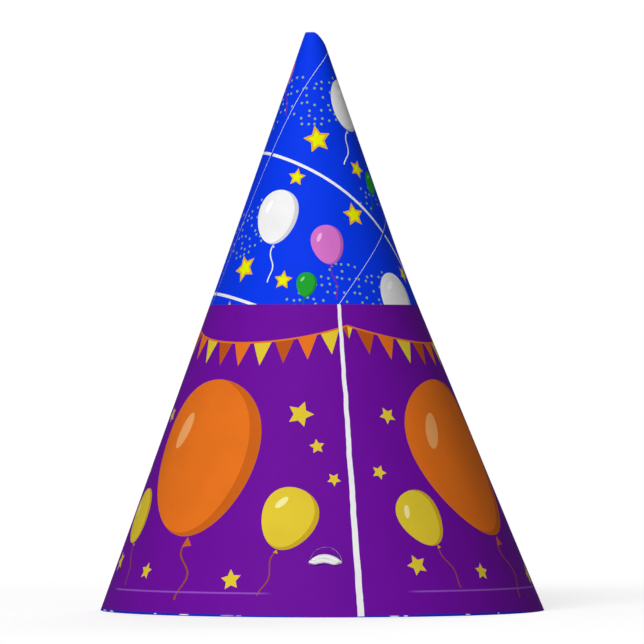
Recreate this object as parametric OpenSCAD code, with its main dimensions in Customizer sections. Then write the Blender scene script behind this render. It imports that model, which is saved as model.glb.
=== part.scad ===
/* [Hat] */
// Outer diameter of the open rim
rim_d = 135; // [125:1:145]
// Height from the rim to the top of the tip
hat_h = 175.8; // [170:0.1:185]
// Thickness of the printed card
card_t = 0.35; // [0.25:0.05:0.5]
// Height of the straight border between the two ground colours
border_h = 92.7; // [60:0.1:95]

/* [Bend] */
// Height of the soft bend in the right-hand side
bend_h = 101.6; // [98:0.1:106]
// Outer diameter at the bend
bend_d = 56.7; // [54:0.1:60]
// Height over which the bend is rounded
bend_soft = 12; // [4:1:16]
// Shift of the upper half towards the seam
lean = 2.8; // [0:0.1:4]

/* [Tip] */
// Outer diameter of the hole at the tip
tip_d = 4.8; // [3.6:0.1:6]
// How far the rounded shoulder drops on the right-hand side of the tip
tip_drop = 4.6; // [1:0.1:5]

/* [Seam] */
// Direction of the outer edge of the lap in plan, in degrees
seam_a = 175; // [150:1:210]
// Width of the glued lap at the rim
lap_w = 12; // [8:0.5:16]
// Width over which the card dips to go under the lap
dip_w = 8; // [4:0.5:12]

/* [Tongues] */
// Width of each half-moon cut
moon_w = 9.8; // [9:0.1:12]
// Rise of each half-moon cut
moon_rise = 5; // [4:0.1:6]
// Height of the half-moon's straight root above the rim
moon_z = 15.6; // [13:0.1:18]
// Sideways place of the front half-moon
moon_x = 1; // [-2:0.1:2]
// Width of the cut around the tongue
slit_w = 0.35; // [0.2:0.05:0.5]
// Width that the elastic pushes open at each end of the cut
eye_w = 1.4; // [1.35:0.05:1.6]
// Height that the elastic pushes open at each end of the cut
eye_h = 2.5; // [2.4:0.1:2.8]

/* [Chin elastic] */
// Diameter of the slack round elastic
elastic_d = 1.4; // [1.2:0.05:1.5]
// Diameter of the elastic where it is stretched through the card
pinched_d = 1; // [0.8:0.05:1.05]
// Clearance between the strands, and between them and the card that they cross
elastic_gap = 0.12; // [0.08:0.01:0.16]
// Clearance under the lower strand where it goes through the card
eye_gap = 0.22; // [0.2:0.01:0.3]
// Diameter of each knot
knot_d = 3.8; // [3.4:0.1:4.2]
// Gap between the tongue and the knot behind it
knot_gap = 0.5; // [0.3:0.1:0.8]

/* [Hidden] */

blue = "#0638f0";
purple = "#6d1398";
white = "#ebebeb";

// Slopes of the wall below and above the bend, as radius lost for each millimetre of height
low_slope = (rim_d - bend_d) / 2 / bend_h;
top_slope = (bend_d - tip_d) / 2 / (hat_h - bend_h);
// The wall leans, so a card thickness measures a little more along the radius
wall_r = card_t / cos(atan(low_slope));

// Angles around the hat are counted from the outer edge of the lap
mm_to_deg = 360 / (PI * rim_d);
lap_a = lap_w * mm_to_deg;
dip_a = dip_w * mm_to_deg;
edge_a = 0.15;
around = concat(
    steps(0, lap_a, 4),
    [lap_a],
    steps(lap_a + edge_a, 360 - dip_a, 108),
    steps(360 - dip_a, 360 - edge_a, 4),
    [360 - edge_a]
);

// Height of the last level ring, below the cut edge of the tip
crown_h = hat_h - 2 * tip_drop;
bend_steps = 6;
low_rings = [0, border_h];
high_rings = concat(
    [border_h],
    [for (i = [1 : bend_steps]) border_h + (bend_h + bend_soft - border_h) * i / bend_steps],
    [crown_h]
);

// Values from a up to b in n steps, without b itself
function steps(a, b, n) = [for (i = [0 : n - 1]) a + (b - a) * i / n];

// Height gained above the bend, rounded where the two slopes meet
function above_bend(z) =
    z < bend_h - bend_soft ? 0
    : z > bend_h + bend_soft ? z - bend_h
    : pow(z - bend_h + bend_soft, 2) / (4 * bend_soft);

function outer_r(z) = rim_d / 2 - low_slope * z + (low_slope - top_slope) * above_bend(z);
function centre_x(z) = -lean / bend_h * (z - above_bend(z));

// How much of a card thickness the outer layer has dipped at angle p
function dipped(p) = p < 360 - dip_a ? 0 : (1 - cos(180 * (p - 360 + dip_a) / (dip_a - edge_a))) / 2;
function outer_drop(p) = wall_r * dipped(p);
function inner_drop(p) = wall_r * (p <= lap_a ? 2 : 1 + dipped(p));

// The cut edge of the tip stands level in front, from the lap's corner to the middle, then drops
// in a quarter round to the right-hand side and runs level round the back, under the lap
function tip_z(p) =
    let (a = p + seam_a)
    a < 270 ? hat_h
    : a < 360 ? hat_h - tip_drop * (1 + sin(a))
    : hat_h - tip_drop;

function wall_point(p, z, drop) =
    let (r = outer_r(z) - drop)
    [centre_x(z) + r * cos(p + seam_a), r * sin(p + seam_a), z];

// One band of the sheet, between level rings, and up to the tip's cut edge if tip is true
module band(rings, tip) {
    n = len(around);
    m = len(rings) + (tip ? 1 : 0);
    outer = [
        for (k = [0 : m - 1], p = around)
            wall_point(p, k < len(rings) ? rings[k] : tip_z(p), outer_drop(p))
    ];
    inner = [
        for (k = [0 : m - 1], p = around)
            wall_point(p, k < len(rings) ? rings[k] : tip_z(p), inner_drop(p))
    ];
    in0 = n * m;
    last = n * (m - 1);
    faces = concat(
        [for (k = [0 : m - 2], i = [0 : n - 1]) each
            let (a = k * n + i, b = k * n + (i + 1) % n)
            [[a, a + n, b], [b, a + n, b + n]]],
        [for (k = [0 : m - 2], i = [0 : n - 1]) each
            let (a = in0 + k * n + i, b = in0 + k * n + (i + 1) % n)
            [[a, b, a + n], [b, b + n, a + n]]],
        [for (i = [0 : n - 1]) each
            let (j = (i + 1) % n)
            [[i, j, in0 + i], [j, in0 + j, in0 + i]]],
        [for (i = [0 : n - 1]) each
            let (a = last + i, b = last + (i + 1) % n)
            [[a, in0 + a, b], [b, in0 + a, in0 + b]]]
    );
    polyhedron(points = concat(outer, inner), faces = faces, convexity = 6);
}

// Outline of a half-moon cut, upright, with its root on the x axis
module moon_outline() {
    tongue_half = moon_w / 2 - slit_w;
    tongue_rise = moon_rise - slit_w;
    difference() {
        intersection() {
            scale([moon_w / 2, moon_rise]) circle(1, $fn = 64);
            translate([-moon_w / 2, 0]) square([moon_w, moon_rise]);
        }
        scale([tongue_half, tongue_rise]) circle(1, $fn = 64);
    }
    for (side = [-1, 1]) {
        translate([side * (moon_w - eye_w) / 2 - eye_w / 2, 0]) square([eye_w, eye_h]);
    }
}

// Cutter that takes one half-moon out of the front wall
module moon_cutter() {
    reach = 12;
    translate([moon_x, -outer_r(moon_z) + reach, moon_z])
        rotate([90, 0, 0])
            linear_extrude(2 * reach) moon_outline();
}

// The hat is one printed sheet, rolled into a cone and glued in a lap from rim to tip
module card_cone() {
    color(purple) difference() {
        band(low_rings, false);
        moon_cutter();
        rotate([0, 0, 180]) moon_cutter();
    }
    color(blue) band(high_rings, true);
}

// Smooth curve through the points, with per steps between each two
function curve_at(p, i, t) =
    let (
        a = i == 0 ? 2 * p[0] - p[1] : p[i - 1],
        b = p[i],
        c = p[i + 1],
        d = i + 2 < len(p) ? p[i + 2] : 2 * c - b
    )
    (2 * b + (c - a) * t + (2 * a - 5 * b + 4 * c - d) * t * t
        + (3 * b - a - 3 * c + d) * t * t * t) / 2;
function smooth(p, per) = concat(
    [for (i = [0 : len(p) - 2], j = [0 : per - 1]) curve_at(p, i, j / per)],
    [p[len(p) - 1]]
);

function xyz(p) = [p[0], p[1], p[2]];
function unit(v) = v / norm(v);
function across(v, t) = unit(v - (v * t) * t);

// Round tube along points that each hold x, y, z and the diameter there. It leaves its first point
// along first and reaches its last along last.
module tube(path, first, last) {
    sides = 8;
    n = len(path);
    between = [for (i = [1 : n - 2]) unit(xyz(path[i + 1]) - xyz(path[i - 1]))];
    ahead = concat([first], between, [last]);
    side = abs(first[2]) > 0.9 ? [1, 0, 0] : [0, 0, 1];
    out = [for (i = 0, v = across(side, first); i < n; i = i + 1,
                v = i < n ? across(v, ahead[i]) : v) v];
    points = [
        for (i = [0 : n - 1], j = [0 : sides - 1])
            let (a = 360 * (j + 0.5) / sides, w = cross(ahead[i], out[i]))
            xyz(path[i]) + path[i][3] / 2 * (cos(a) * out[i] + sin(a) * w)
    ];
    walls = [
        for (i = [0 : n - 2], j = [0 : sides - 1])
            let (a = i * sides + j, b = i * sides + (j + 1) % sides)
            [a, a + sides, b + sides, b]
    ];
    start = [for (j = [0 : sides - 1]) j];
    end = [for (j = [sides - 1 : -1 : 0]) (n - 1) * sides + j];
    polyhedron(points = points, faces = concat(walls, [start, end]), convexity = 10);
}

// Each loop is laid out on the wall: across, up the slope and outwards from the root of the tongue
lean_a = atan(low_slope);
root = [moon_x, -outer_r(moon_z), moon_z];
function on_wall(u, v, n) =
    root + [u, v * sin(lean_a) - n * cos(lean_a), v * cos(lean_a) + n * sin(lean_a)];

eye_u = (moon_w - eye_w) / 2;
front_n = elastic_gap + elastic_d / 2;
knot_n = -wall_r - knot_gap - knot_d / 2;
knot_v = eye_h / 2;
knot_c = on_wall(0, knot_v, knot_n);
// Height of the knot's flat underside, where the chin strand leaves it
knot_cut = 0.8;
knot_flat = knot_c[2] - knot_cut * knot_d / 2;

// One strand of the loop, out of the knot, through one end of the cut, over the tongue and back
function strand_half(v_eye, v_mid) = [
    [0.6, knot_v, knot_n, pinched_d],
    [2, (knot_v + v_eye) / 2, knot_n, pinched_d],
    [eye_u - 0.5, v_eye, -1.7, pinched_d],
    [eye_u, v_eye, -0.6, pinched_d],
    [eye_u, v_eye, 0.3, pinched_d],
    [eye_u - 0.6, v_eye, front_n, (pinched_d + elastic_d) / 2],
    [eye_u / 2, (v_eye + 2 * v_mid) / 3, front_n, elastic_d]
];
function strand(v_eye, v_mid) =
    let (h = strand_half(v_eye, v_mid), n = len(h))
    concat(
        [for (q = h) [-q[0], q[1], q[2], q[3]]],
        [[0, v_mid, front_n, elastic_d]],
        [for (i = [n - 1 : -1 : 0]) h[i]]
    );
function placed(p) = [for (q = p) let (w = on_wall(q[0], q[1], q[2])) [w[0], w[1], w[2], q[3]]];

low_eye_v = eye_gap + pinched_d / 2;
high_eye_v = low_eye_v + pinched_d + elastic_gap;
low_mid_v = 1.05;
high_mid_v = low_mid_v + elastic_d + elastic_gap;

// The elastic's loop around one tongue: two strands over the front and the knot behind
module loop() {
    tube(smooth(placed(strand(low_eye_v, low_mid_v)), 3), [-1, 0, 0], [-1, 0, 0]);
    tube(smooth(placed(strand(high_eye_v, high_mid_v)), 3), [-1, 0, 0], [-1, 0, 0]);
    intersection() {
        translate(knot_c) sphere(d = knot_d, $fn = 48);
        translate([knot_c[0] - knot_d, knot_c[1] - knot_d, knot_flat]) cube(2 * knot_d);
    }
}

module front_loop() {
    color(white) loop();
}

module back_loop() {
    color(white) rotate([0, 0, 180]) loop();
}

// The chin strand hangs from the front knot and lies slack on the table inside the hat
rest_z = elastic_d / 2 + 0.05;
drop = [knot_c[0], knot_c[1], knot_flat];
route = concat(
    [drop, drop - [0, 0, 4]],
    [
        [0, -56, 6],
        [-2, -52, 2],
        [-8, -46, 1],
        [-18, -41, rest_z],
        [-29, -36, rest_z],
        [-39, -28, rest_z],
        [-44, -17, rest_z],
        [-42, -5, rest_z],
        [-33, 3, rest_z],
        [-21, 6, rest_z],
        [-8, 4, rest_z],
        [4, 0, rest_z],
        [16, -4, rest_z],
        [28, -5, rest_z],
        [39, 0, rest_z],
        [45, 11, rest_z],
        [43, 23, rest_z],
        [34, 32, rest_z],
        [22, 38, rest_z],
        [10, 45, 1],
        [3, 51, 2],
        [0, 56, 6]
    ],
    [[-drop[0], -drop[1], knot_flat - 4], [-drop[0], -drop[1], knot_flat]]
);

module chin_elastic() {
    color(white)
        tube(smooth([for (p = route) [p[0], p[1], p[2], elastic_d]], 3), [0, 0, -1], [0, 0, 1]);
}

card_cone();
chin_elastic();
front_loop();
back_loop();
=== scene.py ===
# %% [markdown]
# # A paper party hat
#
# The real hat is one sheet of printed white card, rolled into a cone and glued in a lap from rim to tip.
# Low in the front, and again at the back, a half-moon cut leaves a small tongue, and a round white
# elastic is hooked over each tongue and knotted behind it.
#
# The construction already exists as a CAD model. It is loaded first and never changes: the pieces made
# here are dressed over it, in metres, with the middle of the rim at the origin and the front towards -Y.

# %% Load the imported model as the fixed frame
from math import asin, atan, ceil, cos, degrees, hypot, pi, radians, sin

import bpy
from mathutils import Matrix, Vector


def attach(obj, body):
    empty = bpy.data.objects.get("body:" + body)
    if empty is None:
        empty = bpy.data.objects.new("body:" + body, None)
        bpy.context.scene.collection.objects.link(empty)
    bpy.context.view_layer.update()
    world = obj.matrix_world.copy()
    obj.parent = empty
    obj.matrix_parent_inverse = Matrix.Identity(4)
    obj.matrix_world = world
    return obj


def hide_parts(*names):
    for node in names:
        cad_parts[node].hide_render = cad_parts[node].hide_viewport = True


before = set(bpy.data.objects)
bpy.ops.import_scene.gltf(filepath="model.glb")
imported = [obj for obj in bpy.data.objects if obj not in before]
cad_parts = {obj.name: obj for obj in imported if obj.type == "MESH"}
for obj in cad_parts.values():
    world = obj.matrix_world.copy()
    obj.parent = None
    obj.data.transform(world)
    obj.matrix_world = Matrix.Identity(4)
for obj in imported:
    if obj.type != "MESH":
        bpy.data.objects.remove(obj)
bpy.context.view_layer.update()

MM = 0.001
print("CAD nodes:", sorted(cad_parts))

# %% [markdown]
# ## Camera
#
# The hat was photographed from straight ahead, a little above the table, through a long lens that
# hardly narrows the far side. A camera two metres away with a lens to match gives the same flat look. A
# wide lens close by would fill the frame as well, but it would bend the rim into a deep curve.

# %% Camera at the photograph's viewing angle
FOCAL_PX = 7045
FRAME_PX = 644
SENSOR_MM = 36
# Where the camera stands and the point that it looks at, in metres
CAMERA_AT = Vector((-0.0001, -2.145, 0.073))
AIM_AT = Vector((-0.0001, 0, 0.0876))

bpy.ops.object.camera_add(location=CAMERA_AT)
camera = bpy.context.object
camera.name = "camera"
camera.data.sensor_width = SENSOR_MM
camera.data.lens = SENSOR_MM * FOCAL_PX / FRAME_PX
camera.rotation_euler = (AIM_AT - camera.location).to_track_quat("-Z", "Y").to_euler()
bpy.context.scene.camera = camera
print("lens, mm:", round(camera.data.lens, 1))

# %% [markdown]
# ## The shape of the wall
#
# Both the card and the elastic are placed by the wall, so its shape is written down once. The radius
# falls in two straight slopes with a soft bend between them. The wall's middle moves a little towards
# the seam up to the bend, and stays there above it. These are the same sizes as in the CAD model.

# %% Sizes of the hat, in millimetres, and the wall's radius and middle at a height
RIM_R = 67.5
HAT_H = 175.8
CARD_T = 0.35
BORDER_H = 92.7
BEND_H, BEND_R, BEND_SOFT = 101.6, 28.35, 12
LEAN = 2.8
TIP_R, TIP_DROP = 2.4, 4.6
SEAM_A = 175
# The lap's width in degrees, and how far before it the sheet's dip begins and ends
LAP_A, DIP_A, EDGE_A = 10.19, 6.79, 0.15

LOW_SLOPE = (RIM_R - BEND_R) / BEND_H
TOP_SLOPE = (BEND_R - TIP_R) / (HAT_H - BEND_H)
LEAN_A = atan(LOW_SLOPE)
# The card's thickness as measured level, along the radius
WALL_R = CARD_T / cos(LEAN_A)


def above_bend(z):
    if z < BEND_H - BEND_SOFT:
        return 0
    if z > BEND_H + BEND_SOFT:
        return z - BEND_H
    return (z - BEND_H + BEND_SOFT) ** 2 / (4 * BEND_SOFT)


def outer_r(z):
    return RIM_R - LOW_SLOPE * z + (LOW_SLOPE - TOP_SLOPE) * above_bend(z)


def centre_x(z):
    return -LEAN / BEND_H * (z - above_bend(z))


print("radius at rim, bend and tip:", [round(outer_r(z), 2) for z in (0, BEND_H, HAT_H)])

# %% [markdown]
# ## Elastic
#
# The elastic is one length of white round cord, 1.4 mm thick, with a rubber core inside a braided
# cover. It goes over the front of a tongue and back, is knotted behind it, runs slack to the other
# side, and does the same there. In the photograph only the two strands over the front tongue show. The
# rest lies inside the hat on the table, in one loose S: a cord this limp takes the shape it falls in.
#
# Each stretch is drawn as a curve through chosen points and given a round bevel. A curve keeps the
# thickness even and lets the points be moved at any time, which a tube built of rings doesn't. It is
# turned into a mesh at the end, so that a map of the braid can be laid along it.

# %% Points on the wall at the tongue: across, up the slope and outwards from its root
MOON_W, MOON_RISE, MOON_Z, MOON_X = 9.8, 5.0, 15.6, 1.0
# The cut and its eyes are finer here than in the CAD solid, as in the photograph
SLIT_W = 0.16
EYE_W, EYE_H = 1.4, 1.5
ROOT = Vector((MOON_X, -outer_r(MOON_Z), MOON_Z))


def on_wall(u, v, n):
    up = v * sin(LEAN_A) - n * cos(LEAN_A)
    return ROOT + Vector((u, up, v * cos(LEAN_A) + n * sin(LEAN_A)))


KNOT_R, KNOT_CLEAR = 1.9, 0.5
# The knot's middle, up the slope and inwards from the tongue's root
KNOT_V, KNOT_N = 1.25, -WALL_R - KNOT_CLEAR - KNOT_R
KNOT_C = on_wall(0, KNOT_V, KNOT_N)
# The free strand leaves the knot on its underside, a little inside its radius
KNOT_FLAT = KNOT_C.z - 0.8 * KNOT_R
print("middle of the front knot, mm:", [round(v, 2) for v in KNOT_C])

# %% Smooth curve through points, and a round cord along it
ELASTIC_D = 1.4


def smooth(points, per):
    """Catmull-Rom curve through the points, with per steps between each two."""
    ends = [[2 * a - b for a, b in zip(points[0], points[1])]]
    ends.append([2 * a - b for a, b in zip(points[-1], points[-2])])
    p = [ends[0], *[list(q) for q in points], ends[1]]
    out = []
    for i in range(1, len(p) - 2):
        for j in range(per):
            t = j / per
            out.append([
                (2 * b + (c - a) * t + (2 * a - 5 * b + 4 * c - d) * t**2
                 + (3 * b - a - 3 * c + d) * t**3) / 2
                for a, b, c, d in zip(p[i - 1], p[i], p[i + 1], p[i + 2])
            ])
    return out + [p[-2]]


def cord_curve(name, points, closed=False):
    """Open or closed curve through points that each hold x, y, z and the diameter there, in mm."""
    data = bpy.data.curves.new(name, "CURVE")
    data.dimensions = "3D"
    data.twist_mode = "MINIMUM"
    data.bevel_depth = ELASTIC_D / 2 * MM
    data.bevel_resolution = 6
    spline = data.splines.new("POLY")
    spline.points.add(len(points) - 1)
    for knot, (x, y, z, d) in zip(spline.points, points):
        knot.co = (x * MM, y * MM, z * MM, 1)
        knot.radius = d / ELASTIC_D
    spline.use_cyclic_u = closed
    piece = bpy.data.objects.new(name, data)
    bpy.context.collection.objects.link(piece)
    return piece


def length_of(points):
    return sum(hypot(*(b - a for a, b in zip(p[:3], q[:3]))) for p, q in zip(points, points[1:]))


# %% The slack strand on the table inside the hat, as it falls
REST_Z = ELASTIC_D / 2 + 0.05
route = [
    (KNOT_C.x, KNOT_C.y, KNOT_FLAT), (KNOT_C.x, KNOT_C.y, KNOT_FLAT - 4),
    (0, -56, 6), (-2, -52, 2), (-8, -46, 1), (-18, -41, REST_Z), (-29, -36, REST_Z),
    (-39, -28, REST_Z), (-44, -17, REST_Z), (-42, -5, REST_Z), (-33, 3, REST_Z), (-21, 6, REST_Z),
    (-8, 4, REST_Z), (4, 0, REST_Z), (16, -4, REST_Z), (28, -5, REST_Z), (39, 0, REST_Z),
    (45, 11, REST_Z), (43, 23, REST_Z), (34, 32, REST_Z), (22, 38, REST_Z), (10, 45, 1),
    (3, 51, 2), (0, 56, 6),
    (-KNOT_C.x, -KNOT_C.y, KNOT_FLAT - 4), (-KNOT_C.x, -KNOT_C.y, KNOT_FLAT),
]
chin_line = smooth([(*p, ELASTIC_D) for p in route], 8)
chin_strand = cord_curve("chin_strand", chin_line)
print("slack strand, mm:", round(length_of(chin_line), 1))

# %% [markdown]
# ## The loop over a tongue
#
# Two strands lie side by side over the front of the tongue in a shallow arch. At each end they are
# pinched together where the card's cut holds them, go through it, and meet in an overhand knot behind
# the tongue. Such a knot is the simplest there is: one turn through its own loop, which pulled tight
# looks like a small trefoil. So the knot is drawn as a trefoil, and not as a ball.

# %% Two strands over the front tongue, and the knot behind it
left_to_right_low = [
    (-0.6, 1.2, KNOT_N, 1.1), (-2.4, 0.9, KNOT_N + 0.2, 1.0), (-4.1, 0.6, -1.9, 0.9),
    (-4.5, 0.55, -0.8, 0.85), (-4.6, 0.55, -0.05, 0.85), (-4.5, 0.5, 0.5, 1.0),
    (-3.95, 0.32, 0.82, 1.2), (-3.1, 0.22, 0.85, 1.35), (-1.8, 0.52, 0.82, 1.4),
    (-0.4, 0.72, 0.82, 1.4), (1.0, 0.5, 0.82, 1.4), (2.3, 0.12, 0.8, 1.35), (3.1, 0.1, 0.62, 1.15),
    (3.75, 0.35, 0.1, 0.9), (3.9, 0.5, -0.7, 0.85), (3.7, 0.6, -1.9, 0.9), (2.4, 0.9, KNOT_N + 0.2, 1.0),
    (0.6, 1.2, KNOT_N, 1.1),
]
left_to_right_high = [
    (-0.6, 1.6, KNOT_N, 1.1), (-2.4, 1.6, KNOT_N + 0.2, 1.0), (-3.7, 1.3, -1.9, 0.9),
    (-3.9, 1.1, -0.8, 0.85), (-4.0, 1.05, -0.1, 0.85), (-3.9, 1.02, 0.45, 1.05),
    (-3.3, 1.2, 0.78, 1.25), (-2.0, 1.82, 0.8, 1.4), (-0.4, 2.1, 0.8, 1.4), (1.2, 1.88, 0.8, 1.4),
    (2.6, 1.3, 0.82, 1.35), (3.55, 0.8, 0.82, 1.2), (4.25, 0.5, 0.5, 1.0), (4.45, 0.5, -0.05, 0.85),
    (4.4, 0.7, -0.8, 0.85), (4.0, 1.2, -1.9, 0.9), (2.4, 1.6, KNOT_N + 0.2, 1.0),
    (0.6, 1.6, KNOT_N, 1.1),
]


def on_wall_line(points):
    return smooth([(*on_wall(u, v, n), d) for u, v, n, d in points], 5)


low_strand = cord_curve("low_strand", on_wall_line(left_to_right_low))
high_strand = cord_curve("high_strand", on_wall_line(left_to_right_high))

KNOT_CORD_D = 1.15
KNOT_SIZE, KNOT_DEPTH, KNOT_SQUASH = 0.46, 0.62, 0.92
KNOT_STEPS = 96
trefoil = []
for step in range(KNOT_STEPS):
    t = 2 * pi * step / KNOT_STEPS
    across = KNOT_SIZE * (sin(t) + 2 * sin(2 * t))
    up = KNOT_SIZE * (cos(t) - 2 * cos(2 * t)) * KNOT_SQUASH
    turn = Vector((across, -KNOT_DEPTH * sin(3 * t), up))
    trefoil.append((*(KNOT_C + turn), KNOT_CORD_D))
knot = cord_curve("knot", trefoil, closed=True)
print("strands over the tongue, mm:", round(length_of(on_wall_line(left_to_right_low)), 1))

# %% [markdown]
# ## A map along each cord
#
# The braid of the cover winds round the cord, so its pattern has to know how far along and how far
# round each point is. A converted curve is made of rings of vertices, one after another, so both can be
# read from the vertex numbers. The map is kept in millimetres, which lets the material use real sizes.

# %% Turn a curve into a mesh with a map of millimetres along it and turns round it
def choose(*pieces):
    """Select these pieces alone, with the first as the one that operators work on."""
    bpy.ops.object.select_all(action="DESELECT")
    for piece in pieces:
        piece.select_set(True)
    bpy.context.view_layer.objects.active = pieces[0]


def to_mesh(piece, along_start=0):
    line = piece.data.splines[0]
    steps = [k.co.to_3d() / MM for k in line.points]
    closed = line.use_cyclic_u
    along = [along_start]
    for a, b in zip(steps, steps[1:] + steps[:1]):
        along.append(along[-1] + (b - a).length)
    choose(piece)
    bpy.ops.object.convert(target="MESH")
    bpy.ops.object.mode_set(mode="EDIT")
    bpy.ops.mesh.select_all(action="SELECT")
    bpy.ops.mesh.fill_holes(sides=0)
    bpy.ops.object.mode_set(mode="OBJECT")
    mesh = piece.data
    while mesh.uv_layers:
        mesh.uv_layers.remove(mesh.uv_layers[0])
    sides = len(mesh.vertices) // len(steps)
    uv = mesh.uv_layers.new(name="cord_map")
    for face in mesh.polygons:
        rings = [mesh.loops[i].vertex_index // sides for i in face.loop_indices]
        turns = [mesh.loops[i].vertex_index % sides for i in face.loop_indices]
        for i, ring, turn in zip(face.loop_indices, rings, turns):
            if closed and ring == 0 and max(rings) > 1:
                ring = len(steps)
            if turn == 0 and max(turns) > 1:
                turn = sides
            uv.data[i].uv = (along[ring] * MM, turn / sides)
    bpy.ops.object.shade_smooth_by_angle(angle=radians(60))
    return piece


def join(name, parts):
    choose(*parts)
    bpy.ops.object.join()
    parts[0].name = parts[0].data.name = name
    return parts[0]


for part in (low_strand, high_strand, knot, chin_strand):
    to_mesh(part)
front_hook = join("front_hook", [low_strand, high_strand, knot])

# %% The same loop at the back, as a copy turned half round
choose(front_hook)
bpy.ops.object.duplicate()
back_hook = bpy.context.object
back_hook.name = back_hook.data.name = "back_hook"
back_hook.rotation_euler = (0, 0, pi)
bpy.ops.object.transform_apply(location=True, rotation=True, scale=True)
print("loops:", [(o.name, len(o.data.polygons)) for o in (front_hook, back_hook)])

# %% [markdown]
# ## The sheet, flat
#
# The hat starts as the real one does, as a flat sheet. A grid stands upright, with the angle round the
# hat across and the height upwards. Its columns and rows are even at first. They are then moved closer
# together near the two tongues, where the cuts need small faces, and the top row follows the cut edge
# of the tip. Solidify gives the card its thickness. Modelling it as a finished cone would make the
# lap, the cuts and the print much harder to place.

# %% A grid with a column for each angle and a row for each height
MM_PER_DEG = 2 * pi * RIM_R / 360
# Angles along the sheet count from its start at the seam. These are the middles of the tongues
FRONT_P, BACK_P = 270 - SEAM_A, 450 - SEAM_A
# Columns are fine from this many degrees before the middle of a tongue to this many past it
FINE_BEFORE, FINE_PAST = 6, 8
# Rows are fine between these heights
FINE_FROM, FINE_TO = 13.5, 22.5


def graded(stops):
    """Values from stop to stop, each stretch in steps no longer than the size given with it."""
    out = [stops[0][0]]
    for (a, _), (b, size) in zip(stops, stops[1:]):
        n = ceil((b - a) / size)
        out += [a + (b - a) * (i + 1) / n for i in range(n)]
    return out


columns = graded([
    (0, 0), (LAP_A, 2), (FRONT_P - FINE_BEFORE, 2), (FRONT_P + FINE_PAST, 0.3),
    (BACK_P - FINE_BEFORE, 2), (BACK_P + FINE_PAST, 0.3),
    (360 - DIP_A, 2), (360 - EDGE_A, 0.6), (360 + LAP_A, 1.7),
])
CROWN_H = HAT_H - 2 * TIP_DROP
rows = graded([
    (0, 0), (0.9, 0.45), (FINE_FROM, 2.6), (FINE_TO, 0.35), (BORDER_H, 3), (BEND_H + BEND_SOFT, 2),
    (CROWN_H, 3), (HAT_H, 1.5),
])
bpy.ops.mesh.primitive_grid_add(
    x_subdivisions=len(columns) - 1, y_subdivisions=len(rows) - 1, size=1, rotation=(pi / 2, 0, 0)
)
sheet = bpy.context.object
sheet.name = sheet.data.name = "printed_cone"
bpy.ops.object.transform_apply(location=True, rotation=True, scale=True)
print("grid:", len(columns), "columns,", len(rows), "rows")


# %% Move each column and row to its angle and height
def tip_z(p):
    """Height of the cut edge of the tip: level from the seam to the front, down over a quarter, level."""
    if p < FRONT_P:
        return HAT_H
    if p < FRONT_P + 90:
        return HAT_H - TIP_DROP * (1 - cos(radians(p - FRONT_P)))
    return HAT_H - TIP_DROP


for vertex in sheet.data.vertices:
    p = columns[round((vertex.co.x + 0.5) * (len(columns) - 1))]
    z = rows[round((vertex.co.z + 0.5) * (len(rows) - 1))]
    if z > CROWN_H:
        z = CROWN_H + (tip_z(p) - CROWN_H) * (z - CROWN_H) / (HAT_H - CROWN_H)
    vertex.co = (p * MM_PER_DEG * MM, 0, z * MM)


# %% Give the card its thickness, inwards from the printed side
def use_modifier(piece, kind, **settings):
    modifier = piece.modifiers.new(kind.title(), kind)
    for key, value in settings.items():
        setattr(modifier, key, value)
    choose(piece)
    bpy.ops.object.modifier_apply(modifier=modifier.name)


print("the printed side faces", tuple(round(v) for v in sheet.data.polygons[0].normal))
use_modifier(sheet, "SOLIDIFY", thickness=CARD_T * MM, offset=-1)

# %% [markdown]
# ## The half-moon cuts
#
# A die stamps each half-moon through the card, and the elastic pushes it open into an eye at both
# ends. Here the die is a thin closed shape of that outline, and a Boolean takes it out of the flat
# sheet. The outline is drawn as it looks from straight ahead, so it is first unrolled onto the sheet:
# each of its points moves to the angle at which the wall has that point. A die's blade is a wedge, so
# the hat's side of the cut slants: from outside, a hair of the white core shows along it.

# %% Outline of the cut, seen from the front, from its root on the right round to the left and back
CUT_STEPS = 48
# The two arcs of the cut start this high above its root, where the sides of its eyes end
OUTSIDE_FROM, INSIDE_FROM = 1.2, EYE_H + 0.2


def half_ellipse(half, rise, v_from):
    a0 = asin(v_from / rise)
    turns = [a0 + (pi - 2 * a0) * i / CUT_STEPS for i in range(CUT_STEPS + 1)]
    return [(half * cos(a), rise * sin(a)) for a in turns]


def cut_outline(inset):
    """The outline, with the hat's side of the cut set in by this much."""
    outside = half_ellipse(MOON_W / 2 - inset, MOON_RISE - inset, OUTSIDE_FROM)
    inside = half_ellipse(MOON_W / 2 - SLIT_W, MOON_RISE - SLIT_W, INSIDE_FROM)
    end = MOON_W / 2 - inset
    outer_eye = [(end - 0.15, 0.0), (end, 0.35), (end, 0.8)]
    inner_end = MOON_W / 2 - EYE_W
    inner_eye = [(inner_end + 0.5, EYE_H), (inner_end, EYE_H - 0.3)]
    inner_eye += [(inner_end, 0.2), (inner_end + 0.2, 0.0)]
    points = outer_eye + outside + [(-u, v) for u, v in reversed(outer_eye)]
    return points + [(-u, v) for u, v in reversed(inner_eye)] + list(reversed(inside)) + inner_eye


# How far the hat's side of the cut slants in, and how far the die reaches past each face of the card
SLANT = 0.1
DIE_PAST = 0.05
front_outline, back_outline = cut_outline(0), cut_outline(SLANT)
print("points in the outline of a cut:", len(front_outline))


# %% A die of that outline, unrolled onto the sheet at one of the tongues
def unrolled(u, v, at_p, side):
    z = MOON_Z + v
    x = side * (MOON_X + u) - centre_x(z)
    return (at_p + degrees(asin(side * x / outer_r(z)))) * MM_PER_DEG * MM, z * MM


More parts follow.
